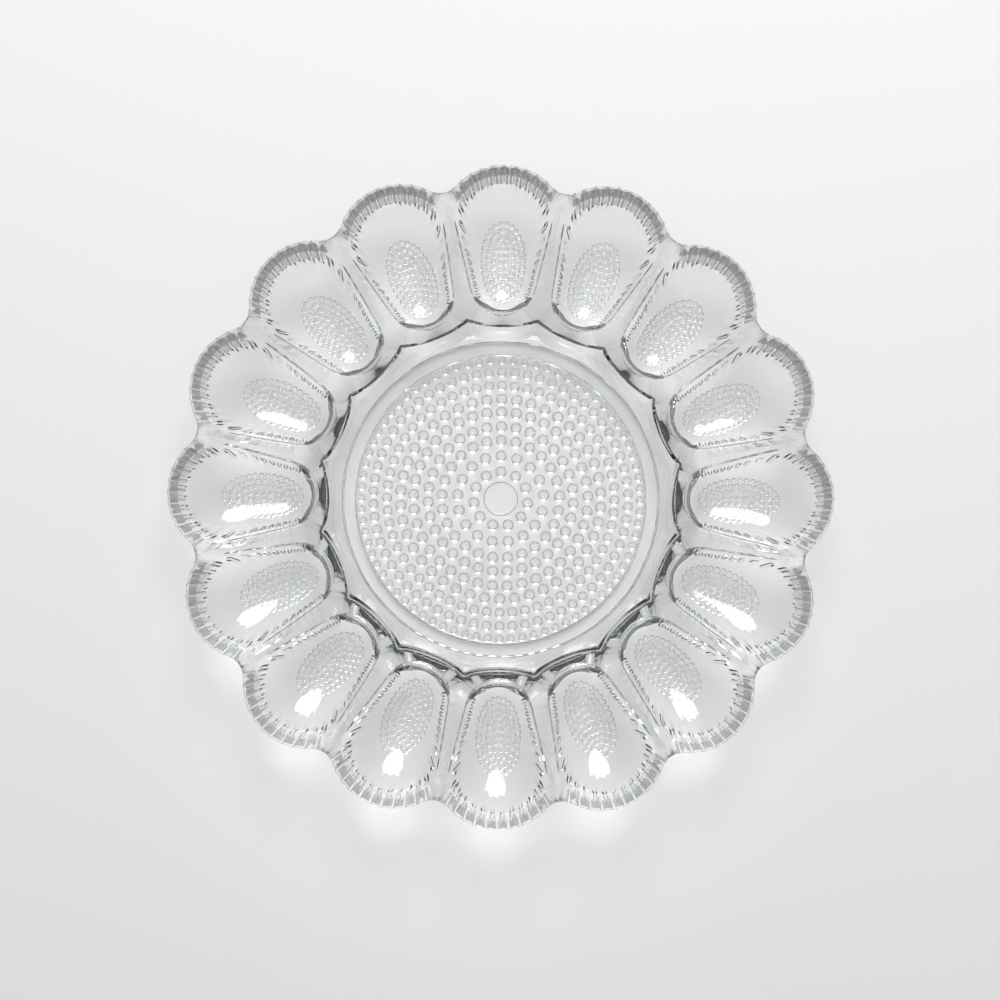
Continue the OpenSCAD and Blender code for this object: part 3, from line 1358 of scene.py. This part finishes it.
@dataclass(frozen=True)
class PressedGlass:
    """Finish of clear pressed glass: fire-polished and faintly wavy, stippled under the well."""

    tint: Colour = (0.975, 0.985, 0.98, 1)
    shadow_tint: Colour = (0.68, 0.68, 0.68, 1)
    depth_tint: Colour = (0, 0.04, 0.02, 1)
    absorption: float = 11.0
    ior: float = 1.5
    polish: float = 0.012
    wave_scale: float = 70.0
    wave_detail: float = 1.5
    wave_depth: float = 0.05 * MM
    stipple_scale: float = 1500.0
    stipple_detail: float = 1.0
    stipple_depth: float = 0.06 * MM
    stipple_r: float = 66 * MM
    stipple_z: float = 3.1 * MM
    stipple_slack: float = 0.04 * MM
    block_level: float = 1.0
    block_rough: float = 0.4
    block_clear: float = 0.8
    divider_level: float = 0.6
    divider_clear: float = 0.1

    def make(self) -> bpy.types.Material:
        """Builds the material.

        Returns:
            The material, ready to be put on a mesh.
        """
        material = bpy.data.materials.new("pressed_glass")
        material.use_nodes = True
        material.node_tree.nodes.clear()
        bench = NodeBench(material.node_tree)
        block = bench.above(self.block_level)
        smooth = {"To Min": self.polish, "To Max": self.block_rough}
        glass = bench.add(
            "BsdfPrincipled",
            {
                "Base Color": self.tint,
                "IOR": self.ior,
                "Roughness": bench.add("MapRange", {"Value": block, **smooth})["Result"],
                "Transmission Weight": self._clearness(bench, block),
                "Normal": self._relief(bench, block),
            },
        )[0]
        shade = bench.add("BsdfTransparent", {"Color": self.shadow_tint})[0]
        is_shadow = bench.add("LightPath", {})["Is Shadow Ray"]
        depth = {"Color": self.depth_tint, "Density": self.absorption}
        parts = {
            "Surface": bench.add("MixShader", {0: is_shadow, 1: glass, 2: shade})[0],
            "Volume": bench.add("VolumeAbsorption", depth)[0],
        }
        bench.add("OutputMaterial", parts)
        return material

    def _clearness(self, bench: NodeBench, block: Socket) -> Socket:
        """Makes the blocks under the rim a little milky and the ridges between them more.

        Args:
            bench: Bench of the material's nodes.
            block: A socket that is 1 in the blocks.

        Returns:
            The share of light that is let through.
        """
        rim = bench.above(self.divider_level)
        divider = bench.add("Math", {0: rim, 1: block}, "SUBTRACT")[0]
        span = {"Value": divider, "To Min": 1, "To Max": self.divider_clear}
        clear = bench.add("MapRange", span)["Result"]
        milky = {"Value": block, "To Min": clear, "To Max": self.block_clear}
        return bench.add("MapRange", milky)["Result"]

    def _relief(self, bench: NodeBench, block: Socket) -> Socket:
        """Bends the surface with faint waves, and with grain in the blocks and under the well.

        Args:
            bench: Bench of the material's nodes.
            block: A socket that is 1 in the blocks.

        Returns:
            The normal of the surface.
        """
        place = bench.add("TexCoord", {})["Object"]
        wave = {"Vector": place, "Scale": self.wave_scale, "Detail": self.wave_detail}
        wave_height = bench.add("TexNoise", wave)["Fac"]
        wavy = bench.add("Bump", {"Height": wave_height, "Distance": self.wave_depth})["Normal"]
        parts = bench.add("SeparateXYZ", {0: place})
        flat = bench.add("CombineXYZ", {"X": parts["X"], "Y": parts["Y"]})[0]
        radius = bench.add("VectorMath", {0: flat}, "LENGTH")["Value"]
        inside = bench.add("Math", {0: radius, 1: self.stipple_r}, "LESS_THAN")[0]
        near = {0: parts["Z"], 1: self.stipple_z, 2: self.stipple_slack}
        level = bench.add("Math", near, "COMPARE")[0]
        ground = bench.add("Math", {0: inside, 1: level}, "MULTIPLY")[0]
        stipple = {"Vector": place, "Scale": self.stipple_scale, "Detail": self.stipple_detail}
        bumps = {
            "Strength": bench.add("Math", {0: block, 1: ground}, "ADD")[0],
            "Height": bench.add("TexNoise", stipple)["Fac"],
            "Distance": self.stipple_depth,
            "Normal": wavy,
        }
        return bench.add("Bump", bumps)["Normal"]


@dataclass
class GlassPlatter:
    """The whole platter as one closed body of glass."""

    plate: PlateSizes
    finish: PressedGlass = PressedGlass()
    sharp_angle: float = math.radians(33)

    def build(self) -> bpy.types.Object:
        """Builds the platter and dresses it.

        Returns:
            The finished object.
        """
        bay = Bay(self.plate, CupForm(self.plate))
        mesh = bay.build()
        turns = self.plate.cup_count - 1
        bmesh.ops.spin(
            mesh,
            geom=mesh.verts[:] + mesh.edges[:] + mesh.faces[:],
            cent=(0, 0, 0),
            axis=UP,
            angle=2 * self.plate.half_step * turns,
            steps=turns,
            use_duplicate=True,
        )
        bmesh.ops.remove_doubles(mesh, verts=mesh.verts[:], dist=WELD)
        Well(self.plate).close(mesh)
        bmesh.ops.remove_doubles(mesh, verts=mesh.verts[:], dist=WELD)
        bmesh.ops.recalc_face_normals(mesh, faces=mesh.faces[:])
        for face in mesh.faces:
            face.smooth = True
        for edge in mesh.edges:
            if edge.is_manifold and edge.calc_face_angle() > self.sharp_angle:
                edge.smooth = False
        loose = sum(not edge.is_manifold for edge in mesh.edges)
        platter = show_mesh("glass_platter", mesh, self.finish.make())
        triangles = sum(len(face.vertices) - 2 for face in platter.data.polygons)
        LOG.info("glass_platter: %d triangles, %d open edges", triangles, loose)
        return platter


@dataclass
class Studio:
    """Pale floor, soft light from behind the platter and the camera above it."""

    floor_colour: Colour = (0.86, 0.86, 0.855, 1)
    floor_rough: float = 0.9
    floor_shine: float = 0.1
    floor_half: float = 3.0
    floor_gap: float = 0.05 * MM
    view_width: float = 0.4555
    shift: tuple[float, float] = (-0.0007, -0.0008)
    distance: float = 1.5
    elevation: float = math.radians(86)
    roll: float = math.radians(0.6)
    rim_level: float = 29 * MM
    disc_level: float = 3 * MM
    key_power: float = 25.0
    key_size: float = 1.1
    key_place: Vector = Vector((0.1, 1.25, 1.3))
    horizon: float = 0.1
    zenith: float = 0.61

    def build(self) -> None:
        """Builds the floor, the world, the lamp and the camera."""
        self._floor()
        self._world()
        self._lamp()
        self._camera()

    def _floor(self) -> None:
        """Lays a plain pale floor."""
        mesh = bmesh.new()
        bmesh.ops.create_grid(mesh, x_segments=1, y_segments=1, size=self.floor_half)
        bmesh.ops.translate(mesh, verts=mesh.verts[:], vec=-UP * self.floor_gap)
        material = bpy.data.materials.new("pale_floor")
        material.use_nodes = True
        shader = material.node_tree.nodes["Principled BSDF"]
        shader.inputs["Base Color"].default_value = self.floor_colour
        shader.inputs["Roughness"].default_value = self.floor_rough
        shader.inputs["Specular IOR Level"].default_value = self.floor_shine
        show_mesh("floor", mesh, material)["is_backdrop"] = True

    def _world(self) -> None:
        """Makes a grey room that is darker towards the horizon."""
        world = bpy.data.worlds.new("room")
        world.use_nodes = True
        bench = NodeBench(world.node_tree)
        place = bench.add("TexCoord", {})["Generated"]
        height = bench.add("SeparateXYZ", {0: place})["Z"]
        span = {"Value": height, "To Min": self.horizon, "To Max": self.zenith}
        back = world.node_tree.nodes["Background"].inputs
        back["Color"].default_value = (1, 1, 1, 1)
        world.node_tree.links.new(bench.add("MapRange", span)["Result"], back["Strength"])
        bpy.context.scene.world = world

    def _lamp(self) -> None:
        """Hangs one large soft lamp behind the platter."""
        data = bpy.data.lights.new("key_lamp", "AREA")
        data.energy = self.key_power
        data.shape = "DISK"
        data.size = self.key_size
        lamp = show("key_lamp", data)
        lamp.location = self.key_place
        lamp.rotation_euler = (-self.key_place).to_track_quat("-Z", "Y").to_euler()

    def _camera(self) -> None:
        """Sets the camera nearly straight above, as in the photograph."""
        data = bpy.data.cameras.new("camera")
        data.lens = data.sensor_width * (self.distance - self.rim_level) / self.view_width
        data.shift_x, data.shift_y = self.shift
        camera = show("camera", data)
        lean = math.pi / 2 - self.elevation
        camera.matrix_world = (
            Matrix.Translation(UP * self.disc_level)
            @ Matrix.Rotation(self.roll, 4, "Z")
            @ Matrix.Rotation(lean, 4, "X")
            @ Matrix.Translation(UP * self.distance)
        )
        bpy.context.scene.camera = camera


def main() -> None:
    """Builds the platter over its frame, sets the studio and notes the sizes."""
    logging.basicConfig(level=logging.INFO, format="%(name)s: %(message)s")
    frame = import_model()
    bpy.context.scene.view_settings.view_transform = "Standard"
    plate = PlateSizes.from_frame(frame["nodes"])
    platter = GlassPlatter(plate).build()
    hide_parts(*frame["nodes"])
    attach(platter, "root")
    LOG.info("glass_platter stands for %d nodes", len(frame["nodes"]))
    Studio().build()


if __name__ == "__main__":
    main()
